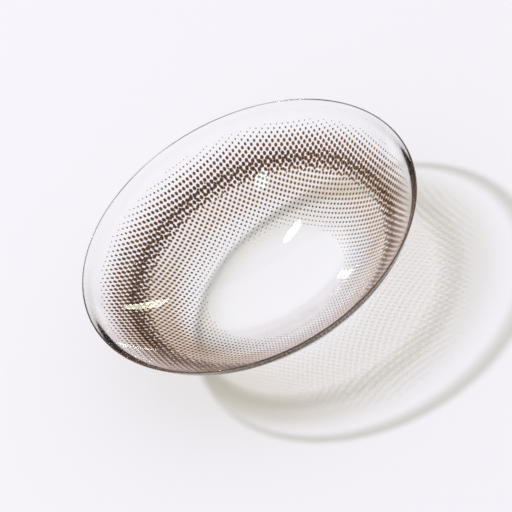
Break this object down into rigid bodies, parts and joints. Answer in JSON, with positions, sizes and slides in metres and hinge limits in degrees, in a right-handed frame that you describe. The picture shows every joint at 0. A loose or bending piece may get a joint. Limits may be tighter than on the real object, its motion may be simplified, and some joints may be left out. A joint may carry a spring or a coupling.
{
  "type": "coloured contact lens",
  "caption": "Soft contact lens: a thin clear bowl-shaped shell with a printed brown iris ring, lying bowl up on its front surface.",
  "frame": {"origin": "centre of the flat spot under the bowl's apex, on the surface that the lens lies on", "axes": "+Z along the lens axis, from the apex towards the open side that goes on the eye"},
  "size_m": [0.0142, 0.0142, 0.0037],
  "materials": {
    "clear_hydrogel": "clear wet hydrogel",
    "dark_print": "dark brown pigment sealed in the wall",
    "brown_print": "mid brown pigment sealed in the wall",
    "pale_print": "pale beige translucent tint sealed in the wall"
  },
  "bodies": {
    "root": {"contact_lens": "clear_hydrogel"}
  },
  "joints": []
}
